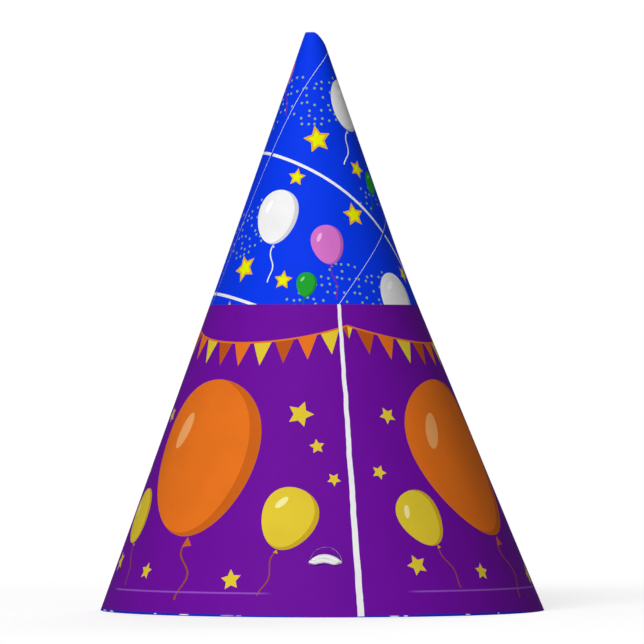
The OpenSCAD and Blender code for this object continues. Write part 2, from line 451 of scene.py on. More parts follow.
def moon_die(name, at_p, side):
    bpy.ops.mesh.primitive_circle_add(vertices=len(front_outline), radius=1, fill_type="NGON")
    die = bpy.context.object
    die.name = name
    places = [unrolled(u, v, at_p, side) for u, v in front_outline]
    for vertex, (x, z) in zip(die.data.vertices, places):
        vertex.co = (x, -DIE_PAST * MM, z)
    bpy.ops.object.mode_set(mode="EDIT")
    bpy.ops.mesh.select_all(action="SELECT")
    thick = (CARD_T + 2 * DIE_PAST) * MM
    bpy.ops.mesh.extrude_region_move(TRANSFORM_OT_translate={"value": (0, thick, 0)})
    bpy.ops.mesh.select_all(action="SELECT")
    bpy.ops.mesh.normals_make_consistent(inside=False)
    bpy.ops.object.mode_set(mode="OBJECT")
    for vertex in die.data.vertices:
        if vertex.co.y > 0:
            x, _, z = vertex.co
            k = min(range(len(places)), key=lambda i: hypot(places[i][0] - x, places[i][1] - z))
            vertex.co.x, vertex.co.z = unrolled(*back_outline[k], at_p, side)
    return die


for name, at_p, side in (("front_die", FRONT_P, 1), ("back_die", BACK_P, -1)):
    die = moon_die(name, at_p, side)
    use_modifier(sheet, "BOOLEAN", operation="DIFFERENCE", object=die, solver="EXACT")
    bpy.data.objects.remove(die)
print("sheet with its cuts:", len(sheet.data.polygons), "faces")

# %% [markdown]
# ## A map of the blank
#
# A printer prints the sheet before it is cut and rolled, so the print is laid out on the flat blank: a
# sector of a ring around the cone's apex. The map gives every point of the card its place on that
# blank, in metres, and the print's materials read it. The card's faces also get their materials here:
# print in two grounds outside, bare card inside, and the white cut edge.

# %% Where a point of the wall lies on the flat blank
# The blank is laid out for an even cone, with its apex at this height
APEX_H = 182.6
APEX_A = atan(RIM_R / APEX_H)
PURPLE, BLUE, BARE, EDGE = SLOTS = range(4)
# A face belongs to a side of the card where its normal is at least this much towards that side
FACING = 0.9


def on_blank(p, z):
    rho = (APEX_H - z) / cos(APEX_A)
    turn = radians(p - FRONT_P) * sin(APEX_A)
    return rho * sin(turn), -rho * cos(turn)


blank_map = sheet.data.uv_layers.new(name="blank_map")
while len(sheet.data.uv_layers) > 1:
    spare = next(m for m in sheet.data.uv_layers if m.name != "blank_map")
    sheet.data.uv_layers.remove(spare)
blank_map = sheet.data.uv_layers["blank_map"]
for loop in sheet.data.loops:
    co = sheet.data.vertices[loop.vertex_index].co / MM
    u, v = on_blank(co.x / MM_PER_DEG, co.z)
    blank_map.data[loop.index].uv = (u * MM, v * MM)

# %% Which material each face gets, by the way it faces and its height
sheet.data.materials.clear()
for _ in SLOTS:
    sheet.data.materials.append(None)
for face in sheet.data.polygons:
    if face.normal.y < -FACING:
        face.material_index = PURPLE if face.center.z < BORDER_H * MM else BLUE
    elif face.normal.y > FACING:
        face.material_index = BARE
    else:
        face.material_index = EDGE
counts = [sum(f.material_index == k for f in sheet.data.polygons) for k in SLOTS]
print("faces of purple, blue, bare and edge:", counts)

# %% [markdown]
# ## Rolling the sheet
#
# Simple Deform could bend the sheet into a tube or an even cone, but not into this one with its bend,
# its lean and its lap. So each vertex is moved by the wall's own formula: its angle and height give the
# place on the wall, and its depth in the card is taken off the radius. Near its end the sheet dips by
# one card thickness and goes on under the start of the sheet, where the real one is glued.
#
# Card rolled by hand is never quite even. Long, shallow waves of a tenth of a millimetre make the light
# run over it as it does over paper.

# %% Roll the sheet into the cone
# The tongue's lean at its top, how it grows on the way up, and how far inside the cut it starts
PUSH, PUSH_POWER, PUSH_INSIDE = 0.22, 1.5, 0.2
GLUE = 0.02
# Half the depth of the waves, and the stretches at the rim and the tip over which they calm down
WAVE, CALM_LOW, CALM_TOP = 0.06, 25, 50
# Number of each wave round the hat, its twist per mm of height, its start and its share
WAVES = [(3, 0.021, 0.4, 1), (5, -0.05, 2.1, 0.7), (2, 0.09, 0, 0.5)]


def dipped(p):
    if p < 360 - DIP_A:
        return 0
    if p > 360 - EDGE_A:
        return 1
    return (1 - cos(pi * (p - 360 + DIP_A) / (DIP_A - EDGE_A))) / 2


def tongue_depth(p, z):
    """How far the tongue leans in, at most at its top, with its root held."""
    for at_p, side in ((FRONT_P, 1), (BACK_P, -1)):
        x = outer_r(z) * sin(radians(p - at_p)) + side * centre_x(z) - MOON_X
        v = z - MOON_Z
        half, rise = MOON_W / 2 - PUSH_INSIDE, MOON_RISE - PUSH_INSIDE
        if v > 0 and (x / half) ** 2 + (v / rise) ** 2 < 1:
            return PUSH * (v / MOON_RISE) ** PUSH_POWER
    return 0


def uneven(a, z):
    """Long shallow waves in the wall, still at the rim and at the tip."""
    calm = min(1, z / CALM_LOW) * min(1, max(0, (HAT_H - z) / CALM_TOP))
    waves = sum(share * sin(number * a + twist * z + start) for number, twist, start, share in WAVES)
    return -WAVE * calm * (1 + waves / sum(share for *_, share in WAVES))


for vertex in sheet.data.vertices:
    p, z, depth = vertex.co.x / MM / MM_PER_DEG, vertex.co.z / MM, vertex.co.y / MM
    a = radians(p + SEAM_A)
    r = outer_r(z) - (WALL_R + GLUE) * dipped(p) - depth * WALL_R / CARD_T - tongue_depth(p, z)
    r += uneven(a, z)
    vertex.co = Vector((centre_x(z) + r * cos(a), r * sin(a), z)) * MM
choose(sheet)
bpy.ops.object.shade_smooth_by_angle(angle=radians(35))
print("rolled:", [round(v / MM, 2) for v in sheet.dimensions])

# %% [markdown]
# ## Colours and nodes
#
# Every material below is a small tree of nodes. Two helpers are all they need: one turns a colour as it
# is seen on a screen into the linear values that light is counted in, and one adds a node with its
# settings and its links.

# %% Screen colour to linear, and one function that adds a node
def colour(hex_code):
    parts = [int(hex_code[i : i + 2], 16) / 255 for i in (1, 3, 5)]
    return [c / 12.92 if c <= 0.04045 else ((c + 0.055) / 1.055) ** 2.4 for c in parts] + [1]


def add(tree, kind, settings=None, **inputs):
    """A node of this kind. An input named by its socket, or in0, in1 and so on, takes a value or a link."""
    node = tree.nodes.new("ShaderNode" + kind)
    for key, value in (settings or {}).items():
        setattr(node, key, value)
    for key, value in inputs.items():
        socket = node.inputs[int(key[2:]) if key[:2] == "in" and key[2:].isdigit() else key.replace("_", " ")]
        if isinstance(value, bpy.types.NodeSocket):
            tree.links.new(value, socket)
        else:
            socket.default_value = value
    return node


def new_material(name):
    material = bpy.data.materials.new(name)
    material.use_nodes = True
    material.node_tree.nodes.clear()
    return material, material.node_tree


# %% [markdown]
# ## Drawing with numbers
#
# The print is drawn in the material: each shape is a mask that is 1 inside and 0 outside, worked out
# from the place on the blank in millimetres, and a mask lays its colour over what is below it. That
# keeps every edge sharp at any distance, as ink is, and needs no picture file.

# %% Masks for simple printed shapes, and laying a colour over another
def calc(tree, operation, *values):
    """Result of one Math node on numbers or links."""
    inputs = {f"in{i}": value for i, value in enumerate(values)}
    return add(tree, "Math", {"operation": operation}, **inputs).outputs[0]


def apart(tree, a, b):
    """How far apart two numbers or links are."""
    return calc(tree, "ABSOLUTE", calc(tree, "SUBTRACT", a, b))


def ramp(tree, value, low, high, start=0.0, end=1.0):
    """A number that goes from start to end while the value goes from low to high, and stays there."""
    return add(tree, "MapRange", Value=value, in1=low, in2=high, in3=start, in4=end).outputs[0]


def lay(tree, below, hex_code, mask):
    """The colour below, covered by the given colour where the mask is 1."""
    mix = add(tree, "Mix", {"data_type": "RGBA"}, in0=mask, in6=below, in7=colour(hex_code))
    return mix.outputs[2]


def local(tree, place, centre, size=(1, 1), tilt=0):
    """The place as seen from a shape with this centre, size and tilt."""
    node = add(tree, "Mapping", {"vector_type": "TEXTURE"}, Vector=place, Location=(*centre, 0),
               Rotation=(0, 0, radians(tilt)), Scale=(*size, 1))
    return node.outputs[0]


def ellipse(tree, place, centre, size, tilt=0):
    seen = local(tree, place, centre, size, tilt)
    away = add(tree, "VectorMath", {"operation": "LENGTH"}, in0=seen).outputs["Value"]
    return calc(tree, "LESS_THAN", away, 1)


def xy(tree, place):
    node = add(tree, "SeparateXYZ", in0=place)
    return node.outputs[0], node.outputs[1]


# %% A five-pointed star
# Distance of its notches from its middle, as a share of its radius
STAR_NOTCH = 0.5


def star(tree, place, centre, radius, tilt=0):
    """A ray of the star is folded onto itself, so one straight side draws all ten."""
    x, y = xy(tree, local(tree, place, centre, (radius, radius), tilt))
    turn = calc(tree, "ARCTAN2", x, y)
    fold = calc(tree, "PINGPONG", turn, pi / 5)
    far = calc(tree, "SQRT", calc(tree, "ADD", calc(tree, "MULTIPLY", x, x), calc(tree, "MULTIPLY", y, y)))
    notch = Vector((sin(pi / 5), cos(pi / 5))) * STAR_NOTCH
    side = Vector((1 - notch.y, notch.x)).normalized()
    out = calc(tree, "MULTIPLY", calc(tree, "SINE", fold), side.x)
    out = calc(tree, "MULTIPLY_ADD", calc(tree, "COSINE", fold), side.y, out)
    return calc(tree, "LESS_THAN", calc(tree, "MULTIPLY", far, out), side.y)


# %% A balloon with its knot, string and shine
def balloon(tree, below, place, centre, size, tilt, string, body, shade, shine, line):
    """Colour below with a balloon laid over it. The string hangs from the knot for its length in mm."""
    # Every part is drawn in shares of the balloon's half width and half height
    half_w, half_h = size
    seen = local(tree, place, centre, (1, 1), tilt)
    x, y = xy(tree, seen)
    under = calc(tree, "ADD", y, half_h * 1.04)
    phase = calc(tree, "MULTIPLY", under, 2 * pi / (string * 0.8))
    sway = calc(tree, "MULTIPLY", calc(tree, "SINE", phase), half_w * 0.09)
    off_line = apart(tree, x, sway)
    on_line = calc(tree, "LESS_THAN", off_line, max(0.22, half_w * 0.018))
    hangs = calc(tree, "LESS_THAN", apart(tree, under, -string / 2), string / 2)
    below = lay(tree, below, line, calc(tree, "MULTIPLY", on_line, hangs))
    flare = calc(tree, "MULTIPLY_ADD", under, -0.62, half_h * 0.02)
    low = calc(tree, "GREATER_THAN", under, -half_h * 0.09)
    high = calc(tree, "LESS_THAN", under, half_h * 0.08)
    knot_mask = calc(tree, "LESS_THAN", calc(tree, "ABSOLUTE", x), flare)
    below = lay(tree, below, shade, calc(tree, "MULTIPLY", knot_mask, calc(tree, "MULTIPLY", low, high)))
    narrow = calc(tree, "MULTIPLY_ADD", y, -0.17 / half_h, 1)
    egg = add(tree, "CombineXYZ", in0=calc(tree, "MULTIPLY", x, narrow), in1=y).outputs[0]
    inside = ellipse(tree, egg, (0, 0), size)
    below = lay(tree, below, shade, inside)
    lit = ellipse(tree, egg, (-half_w * 0.12, half_h * 0.05), (half_w * 0.93, half_h * 0.99))
    below = lay(tree, below, body, calc(tree, "MULTIPLY", inside, lit))
    gleam = ellipse(tree, seen, (-half_w * 0.44, half_h * 0.42), (half_w * 0.12, half_h * 0.24), -32)
    return lay(tree, below, shine, gleam)


# %% The place on the blank, in millimetres, and as angle from the front and distance from the apex
def blank_place(tree):
    uv = add(tree, "UVMap", {"uv_map": "blank_map"}).outputs[0]
    place = add(tree, "VectorMath", {"operation": "SCALE"}, in0=uv, Scale=1 / MM).outputs[0]
    x, y = xy(tree, place)
    turn = calc(tree, "ARCTAN2", x, calc(tree, "MULTIPLY", y, -1))
    angle = calc(tree, "MULTIPLY", turn, degrees(1) / sin(APEX_A))
    rho = add(tree, "VectorMath", {"operation": "LENGTH"}, in0=place).outputs["Value"]
    return place, angle, rho


def in_panel(tree, angle, rho, middle, period):
    """Upright place in the printed panel whose middle is nearest, with the rim at height 0."""
    near = calc(tree, "WRAP", calc(tree, "SUBTRACT", angle, middle), period / 2, -period / 2)
    turn = calc(tree, "MULTIPLY", near, radians(1) * sin(APEX_A))
    x = calc(tree, "MULTIPLY", rho, calc(tree, "SINE", turn))
    h = calc(tree, "SUBTRACT", RIM_RHO, calc(tree, "MULTIPLY", rho, calc(tree, "COSINE", turn)))
    return add(tree, "CombineXYZ", in0=x, in1=h).outputs[0], near


RIM_RHO = APEX_H / cos(APEX_A)
BORDER_RHO = (APEX_H - BORDER_H) / cos(APEX_A)
print("the blank runs from", round(RIM_RHO, 1), "mm at the rim to", round(BORDER_RHO, 1), "mm at the border")

# %% [markdown]
# ## Coated card, digital print
#
# The hat is white 300 g card, coated and printed on one side with toner. That gives flat, saturated
# colour with a faint even sheen and hardly any gloss. Under it the fibres of the card show as a very
# fine, low relief. White print is the bare coating.

# %% Inks, and the finish of the printed side, the same for both grounds
PRINT_WHITE = "#EFEFF0"
GROUND_PURPLE, GROUND_BLUE = "#6C0F9C", "#0839E9"
ORANGE, YELLOW, BROWN, LILAC = "#E5731F", "#E0C634", "#B9531C", "#9450C0"
# The rim strip is printed blue, drawn darker than the blue ground above: painted shade along the rim
SHADED_STRIP_BLUE, SPECK_WHITE, SPECK_ORANGE = "#1D2CB4", "#E9E4EE", "#D98A2E"
STAR_RIM, STAR_FILL, CONFETTI_GREEN = "#E6B422", "#E6F000", "#8FA98A"
# Body, shaded side, shine and string of each kind of balloon
YELLOW_BALLOON = (YELLOW, "#C9A420", "#F4EBA0", "#9A4E10")
ORANGE_BALLOON = (ORANGE, "#C9621A", "#F2A765", "#9A4E10")
PINK_BALLOON = ("#D673C8", "#B45AB0", "#F0B4E6", "#7A1FA0")
GREEN_BALLOON = ("#22A030", "#1A7C28", "#8BD894", "#126B1E")
WHITE_BALLOON = (PRINT_WHITE, "#CFCFD8", "#FFFFFF", PRINT_WHITE)


def printed_finish(tree, ink, place):
    """Ink over coated card: fine fibre relief, a cloudy laydown of a few percent, and little gloss."""
    # Toner lies unevenly, in soft clouds about 11 mm across
    cloud = add(tree, "TexNoise", {"noise_dimensions": "2D"}, Vector=place, Scale=0.09, Detail=3.0)
    cloudy = ramp(tree, cloud.outputs[0], 0.3, 0.7, 0.97, 1.03)
    toned = add(tree, "HueSaturation", Color=ink, Value=cloudy).outputs[0]
    # Card fibres are about 0.03 mm wide; drawn 0.35 mm wide so that they show at this distance
    fibre = add(tree, "TexNoise", {"noise_dimensions": "2D"}, Vector=place, Scale=2.8, Detail=3.0,
                Roughness=0.6)
    relief = add(tree, "Bump", Strength=0.12, Distance=0.02 * MM, Height=fibre.outputs[0])
    surface = add(tree, "BsdfPrincipled", Base_Color=toned, Normal=relief.outputs[0], Roughness=0.6,
                  IOR=1.45, Specular_IOR_Level=0.05)
    add(tree, "OutputMaterial", Surface=surface.outputs[0])


# %% [markdown]
# The lower part is printed in panels, a bit more than a quarter of the hat each. Every panel has a
# white stripe at its side, a garland of flags under the border, and a big orange balloon with smaller
# things round it. Each is drawn upright in its own panel, with the rim at height 0, and the panels
# repeat round the hat by wrapping the angle.

# %% Purple ground: its white stripes
# Angle that a panel takes, and the stripe's angle from the front
PANEL, STRIPE_AT = 107, 13.68
# Half its width at the border, and what each mm further down adds to that and moves it sideways
STRIPE_HALF, STRIPE_WIDENS, STRIPE_LEAN = 0.555, 0.0046, -0.0474
STRIPE_WAVER, WAVER_PER_MM = 0.7, 0.11


def stripe_mask(tree, angle, rho):
    """Upright white stripe, a little wider at the rim, once in each panel, with a hand-drawn waver."""
    seen, _ = in_panel(tree, angle, rho, STRIPE_AT, PANEL)
    x, h = xy(tree, seen)
    t = calc(tree, "SUBTRACT", RIM_RHO - BORDER_RHO, h)
    drawn = calc(tree, "MULTIPLY", h, WAVER_PER_MM)
    noise = add(tree, "TexNoise", {"noise_dimensions": "1D"}, W=drawn, Scale=1.0)
    waver = calc(tree, "MULTIPLY_ADD", noise.outputs[0], STRIPE_WAVER, -STRIPE_WAVER / 2)
    middle = calc(tree, "MULTIPLY_ADD", t, STRIPE_LEAN, waver)
    wide = calc(tree, "MULTIPLY_ADD", t, STRIPE_WIDENS, STRIPE_HALF)
    return calc(tree, "LESS_THAN", apart(tree, x, middle), wide)


# %% Purple ground: a garland of flags in each panel
FLAG_W, FLAG_H = 7.0, 7.5
FLAG_HALF, STRING_HALF = 0.43 * FLAG_W, 0.28
# The string's height in the middle of a panel, its rise to the sides, and its distance from the apex
GARLAND_H, GARLAND_SAG, GARLAND_RHO = 86.5, 5.5, 104


def garland(tree, below, near, rho):
    """Flags on a string that sags between the panel's sides, level with the border above."""
    x = calc(tree, "MULTIPLY", near, radians(1) * sin(APEX_A) * GARLAND_RHO)
    across = calc(tree, "DIVIDE", near, PANEL / 2)
    sag = calc(tree, "MULTIPLY_ADD", calc(tree, "MULTIPLY", across, across), GARLAND_SAG, GARLAND_H)
    under = calc(tree, "SUBTRACT", sag, calc(tree, "SUBTRACT", RIM_RHO, rho))
    in_flag = calc(tree, "ABSOLUTE", calc(tree, "WRAP", x, FLAG_W / 2, -FLAG_W / 2))
    half = calc(tree, "MULTIPLY_ADD", under, -FLAG_HALF / FLAG_H, FLAG_HALF)
    within = calc(tree, "LESS_THAN", in_flag, half)
    flag = calc(tree, "MULTIPLY", within, calc(tree, "GREATER_THAN", under, 0))
    number = calc(tree, "WRAP", calc(tree, "ROUND", calc(tree, "DIVIDE", x, FLAG_W)), 3, 0)
    below = lay(tree, below, ORANGE, flag)
    yellow = calc(tree, "COMPARE", number, 1, 0.2)
    below = lay(tree, below, YELLOW, calc(tree, "MULTIPLY", flag, yellow))
    brown = calc(tree, "COMPARE", number, 2, 0.2)
    below = lay(tree, below, BROWN, calc(tree, "MULTIPLY", flag, brown))
    string = calc(tree, "LESS_THAN", calc(tree, "ABSOLUTE", under), STRING_HALF)
    return lay(tree, below, ORANGE, string)


# %% Purple ground: lilac lines, and the strip at the rim with its specks
# Half widths of the full line and of its soft edge in mm, and the degrees over which an end fades
LILAC_CORE, LILAC_EDGE, LILAC_FADE = 0.12, 0.34, 4
# Start and end in degrees from the front, and height above the rim
LILAC_LINES = [(-74.6, -13.0, 6.95), (23.0, 88.0, 7.4), (134.0, 186.0, 7.0), (240.0, 300.0, 6.9)]


def lilac_lines(tree, below, angle, height):
    """Fine level lines near the rim, one in each panel, fading at both ends."""
    for start, end, above_rim in LILAC_LINES:
        fine = ramp(tree, apart(tree, height, above_rim), LILAC_CORE, LILAC_EDGE, 1.0, 0.0)
        half = (end - start) / 2
        ends = ramp(tree, apart(tree, angle, start + half), half - LILAC_FADE, half, 1.0, 0.0)
        below = lay(tree, below, LILAC, calc(tree, "MULTIPLY", fine, ends))
    return below


# The strip is shallow at this angle from the front and reaches its full depth this far to either side
STRIP_SHALLOW, STRIP_FULL, SHALLOW_AT, FULL_AFTER = 0.1, 0.78, 2, 26
# It is missing round this angle, this far to either side, and whole from this far away on
MISSED_AT, MISSED_HALF, WHOLE_AFTER = 88, 18.0, 30.0
SPECK_HALF_H = 0.16
# Colour, angle from the front and half width in degrees
RIM_SPECKS = [
    (SPECK_WHITE, -77.8, 2.0), (SPECK_WHITE, -70.4, 1.5), (SPECK_WHITE, -47.7, 0.5),
    (SPECK_WHITE, -37.6, 1.6), (SPECK_ORANGE, -24.7, 1.9), (SPECK_ORANGE, -21.5, 0.8),
    (SPECK_WHITE, 18.4, 1.3), (SPECK_WHITE, 21.5, 0.6), (SPECK_WHITE, 40, 0.8), (SPECK_WHITE, 51.4, 0.4),
    (SPECK_ORANGE, 114, 1.8), (SPECK_WHITE, 128, 1.2), (SPECK_WHITE, 161, 1.6), (SPECK_ORANGE, -142, 2.0),
    (SPECK_WHITE, -117, 1.2),
]


def rim_strip(tree, below, angle, height):
    """The next print's blue edge, caught by the cut, in a darker blue that paints shade at the rim: it thins
    out in front and stops at the right.
    """
    top = ramp(tree, apart(tree, angle, SHALLOW_AT), 0.0, FULL_AFTER, STRIP_SHALLOW, STRIP_FULL)
    caught = ramp(tree, apart(tree, angle, MISSED_AT), MISSED_HALF, WHOLE_AFTER)
    strip = calc(tree, "LESS_THAN", height, calc(tree, "MULTIPLY", top, caught))
    below = lay(tree, below, SHADED_STRIP_BLUE, strip)
    at_rim = add(tree, "CombineXYZ", in0=angle, in1=height).outputs[0]
    for hex_code, middle, half in RIM_SPECKS:
        swell = min(1, abs(middle - SHALLOW_AT) / FULL_AFTER)
        up = (STRIP_SHALLOW + (STRIP_FULL - STRIP_SHALLOW) * swell) / 2
        below = lay(tree, below, hex_code, ellipse(tree, at_rim, (middle, up), (half, SPECK_HALF_H)))
    return below


# %% Purple print, put together from the ground up
# Right side of the drawn panel, in degrees past the stripe
PANEL_PAST = 3
# Centre, half width and half height, tilt, length of string, and inks
PANEL_BALLOONS = [
    ((-37, 35), (7.5, 9), 10, 14, YELLOW_BALLOON), ((-8, 50), (21.5, 25), 5, 19, ORANGE_BALLOON),
    ((27, 33), (8.5, 10), -9, 15, YELLOW_BALLOON),
]
# Centre, radius and tilt
PANEL_STARS = [
    ((-33, 67.5), 2.8, 10), ((-22, 15), 2.8, -14), ((24, 66), 4.2, -8), ((31, 57), 2.4, 20),
    ((13, 12), 3.4, 12), ((38, 48), 2.2, -20), ((-45.5, 22), 3.4, 5), ((-44, 52), 2.4, 30),
]

purple_print, tree = new_material("coated_card_purple_print")
place, angle, rho = blank_place(tree)
height = calc(tree, "MULTIPLY_ADD", rho, -cos(APEX_A), APEX_H)
panel, near = in_panel(tree, angle, rho, STRIPE_AT + PANEL_PAST - PANEL / 2, PANEL)
ink = garland(tree, colour(GROUND_PURPLE), near, rho)
for centre, size, tilt, string, inks in PANEL_BALLOONS:
    ink = balloon(tree, ink, panel, centre, size, tilt, string, *inks)
for centre, radius, tilt in PANEL_STARS:
    ink = lay(tree, ink, YELLOW, star(tree, panel, centre, radius, tilt))
ink = lay(tree, ink, PRINT_WHITE, stripe_mask(tree, angle, rho))
ink = lilac_lines(tree, ink, angle, height)
ink = rim_strip(tree, ink, angle, height)
printed_finish(tree, ink, place)
print("purple print:", len(tree.nodes), "nodes")

# %% [markdown]
# The upper part has a repeating print, as on gift wrap: a slanting lattice of thin and thick white
# lines, and in every tile the same balloons, stars and confetti. One tile is drawn, and wrapping the
# two distances across the lattice repeats it over the blank.

# %% Blue ground: the lattice, and the place within its tile
# For each family of lines: the direction across them, the place of one line, and their spacing
THIN_N, THIN_AT, THIN_GAP = Vector((0.829, -0.559, 0)), 11.9, 48.1
THICK_N, THICK_AT, THICK_GAP = Vector((0.471, 0.882, 0)), -92.2, 45.65
THIN_W, THICK_W = 0.14, 0.94
# The thick line starts again a little past each thin one
PAST_CROSSING = 1.1


def across_lines(tree, place, normal, at, gap):
    """Distance from the last line of one family, in mm."""
    far = add(tree, "VectorMath", {"operation": "DOT_PRODUCT"}, in0=place, in1=normal).outputs["Value"]
    return calc(tree, "WRAP", calc(tree, "SUBTRACT", far, at), gap, 0.0)


def line_mask(tree, far, gap, width):
    return calc(tree, "GREATER_THAN", apart(tree, far, gap / 2), gap / 2 - width / 2)


def in_tile(tree, far_thin, far_thick):
    """Upright place within the tile, from its lower left corner."""
    turn = THIN_N.x * THICK_N.y - THIN_N.y * THICK_N.x
    x = calc(tree, "MULTIPLY", far_thick, -THIN_N.y / turn)
    x = calc(tree, "MULTIPLY_ADD", far_thin, THICK_N.y / turn, x)
    y = calc(tree, "MULTIPLY", far_thick, THIN_N.x / turn)
    y = calc(tree, "MULTIPLY_ADD", far_thin, -THICK_N.x / turn, y)
    return add(tree, "CombineXYZ", in0=x, in1=y).outputs[0]


# %% Blue ground: confetti
# Cell of the dots' grid, radius of a dot, its largest shift as a share of the cell, and share left out
DOT_GAP, DOT_R, DOT_SHIFT, DOTS_LEFT_OUT = 2.3, 0.42, 0.3, 0.25
PATCH_TILT = 30


def confetti(tree, below, tile, centre, size):
    """Scattered dots within an oval patch: one or none in each cell of a grid, off its middle."""
    x, y = xy(tree, tile)
    column = calc(tree, "ROUND", calc(tree, "DIVIDE", x, DOT_GAP))
    row = calc(tree, "ROUND", calc(tree, "DIVIDE", y, DOT_GAP))
    cell = add(tree, "CombineXYZ", in0=column, in1=row).outputs[0]
    chance = add(tree, "TexWhiteNoise", {"noise_dimensions": "2D"}, Vector=cell)
    middle = add(tree, "VectorMath", {"operation": "SCALE"}, in0=cell, Scale=DOT_GAP).outputs[0]
    most = DOT_SHIFT * DOT_GAP
    shift = add(tree, "VectorMath", {"operation": "MULTIPLY_ADD"}, in0=chance.outputs["Color"],
                in1=(2 * most, 2 * most, 0), in2=(-most, -most, 0)).outputs[0]
    dot_at = add(tree, "VectorMath", {"operation": "ADD"}, in0=middle, in1=shift).outputs[0]
    away = add(tree, "VectorMath", {"operation": "DISTANCE"}, in0=tile, in1=dot_at).outputs["Value"]
    dot = calc(tree, "MULTIPLY", calc(tree, "LESS_THAN", away, DOT_R),
               calc(tree, "GREATER_THAN", chance.outputs["Value"], DOTS_LEFT_OUT))
    patch = ellipse(tree, middle, centre, size, PATCH_TILT)
    return lay(tree, below, CONFETTI_GREEN, calc(tree, "MULTIPLY", dot, patch))


# %% Blue print, put together from the ground up
# Centre and half sizes of each patch of confetti
PATCHES = [((20, 15), (13, 7)), ((44, -8), (15, 6))]
TILE_STARS = [((17, 2), 4.6, 12), ((31.5, -5), 3.2, -10), ((55, 17), 4.0, 15), ((36, 28), 3.0, -12)]
STAR_INNER = 0.66
TILE_BALLOONS = [
    ((46, 6), (5.2, 6.4), 10, 11, PINK_BALLOON), ((39, -7), (3.2, 4.0), -8, 7, GREEN_BALLOON),
    ((29, 16), (7.4, 8.8), -6, 12, WHITE_BALLOON),
]

blue_print, tree = new_material("coated_card_blue_print")
place, angle, rho = blank_place(tree)
far_thin = across_lines(tree, place, THIN_N, THIN_AT, THIN_GAP)
far_thick = across_lines(tree, place, THICK_N, THICK_AT, THICK_GAP)
tile = in_tile(tree, far_thin, far_thick)
past_crossing = calc(tree, "GREATER_THAN", far_thin, PAST_CROSSING)
ink = colour(GROUND_BLUE)
for centre, size in PATCHES:
    ink = confetti(tree, ink, tile, centre, size)
for centre, radius, tilt in TILE_STARS:
    ink = lay(tree, ink, STAR_RIM, star(tree, tile, centre, radius, tilt))
    ink = lay(tree, ink, STAR_FILL, star(tree, tile, centre, radius * STAR_INNER, tilt))
for centre, size, tilt, string, inks in TILE_BALLOONS:
    ink = balloon(tree, ink, tile, centre, size, tilt, string, *inks)
ink = lay(tree, ink, PRINT_WHITE, line_mask(tree, far_thin, THIN_GAP, THIN_W))
thick = calc(tree, "MULTIPLY", line_mask(tree, far_thick, THICK_GAP, THICK_W), past_crossing)
ink = lay(tree, ink, PRINT_WHITE, thick)
printed_finish(tree, ink, place)
print("blue print:", len(tree.nodes), "nodes")

# %% [markdown]
# ## Bare card
#
# The inside of the hat is the card's back: uncoated bleached fibre, dull and slightly warm, with a
# cloudy look where the fibres lie thicker. The cut edge is the same card sliced through, so it is a
# little rougher still.

# %% Uncoated back and cut edge
def bare_card(name, hex_low, hex_high, rough):
    material, tree = new_material(name)
    place = add(tree, "TexCoord").outputs["Object"]
    # Fibre clouds in such card are 2 to 4 mm across, and single fibres 0.03 mm
    cloud = add(tree, "TexNoise", Vector=place, Scale=1 / (3 * MM), Detail=4.0, Roughness=0.6)
    shade = ramp(tree, cloud.outputs[0], 0.35, 0.65)
    tone = add(tree, "Mix", {"data_type": "RGBA"}, in0=shade, in6=colour(hex_low), in7=colour(hex_high))
    fibre = add(tree, "TexNoise", Vector=place, Scale=1 / (0.3 * MM), Detail=3.0)
    relief = add(tree, "Bump", Strength=0.25, Distance=0.03 * MM, Height=fibre.outputs[0])
    surface = add(tree, "BsdfPrincipled", Base_Color=tone.outputs[2], Normal=relief.outputs[0],
                  Roughness=rough, IOR=1.5, Specular_IOR_Level=0.2)
    add(tree, "OutputMaterial", Surface=surface.outputs[0])
    return material


card_back = bare_card("uncoated_card_back", "#E4E1DA", "#F0EEE9", 0.85)
card_edge = bare_card("cut_card_edge", "#E2DFDA", "#F4F2EE", 0.9)
for slot, material in enumerate((purple_print, blue_print, card_back, card_edge)):
    sheet.data.materials[slot] = material

# %% [markdown]
# ## Braided elastic
#
# The cover of round elastic is sixteen bundles of polyester yarn, braided: eight wind one way round the
# rubber core and eight the other, over and under each other. At arm's length that shows as a fine
# diamond relief with soft shadow between the bundles. Two sets of slanting waves on the cord's map give
# the same relief as a bump, and their crossings the same diamonds. The same waves also darken the
# colour in the grooves between the bundles: that is painted shade. Six bundles each way are drawn in
# place of eight, a little coarser, so that they show.

# %% Braided polyester over rubber
def wave(tree, u, v, pitch, bundles):
    """Rounded bundles that wind once round the cord in one pitch."""
    turns = calc(tree, "MULTIPLY_ADD", u, 1 / pitch, v)
    return calc(tree, "SINE", calc(tree, "MULTIPLY", turns, 2 * pi * bundles))


BRAID_PITCH = 3.6 * MM
BUNDLES = 6

elastic, tree = new_material("braided_polyester_elastic")
u, v = xy(tree, add(tree, "UVMap", {"uv_map": "cord_map"}).outputs[0])
right_hand = wave(tree, u, v, BRAID_PITCH, BUNDLES)
left_hand = wave(tree, u, v, -BRAID_PITCH, BUNDLES)
braid = calc(tree, "MAXIMUM", right_hand, left_hand)
# Painted shade: the colour darkens from #F8F8F8 on the bundles to #E2E2E3 in the grooves between them, over
# the bump's relief
shade = ramp(tree, braid, -0.4, 0.7)
tone = add(tree, "Mix", {"data_type": "RGBA"}, in0=shade, in6=colour("#E2E2E3"), in7=colour("#F8F8F8"))
relief = add(tree, "Bump", Strength=0.5, Distance=0.08 * MM, Height=braid)
surface = add(tree, "BsdfPrincipled", Base_Color=tone.outputs[2], Normal=relief.outputs[0], Roughness=0.7,
              IOR=1.5, Specular_IOR_Level=0.25, Sheen_Weight=0.15, Sheen_Roughness=0.4)
add(tree, "OutputMaterial", Surface=surface.outputs[0])
for piece in (front_hook, back_hook, chin_strand):
    piece.data.materials.clear()
    piece.data.materials.append(elastic)

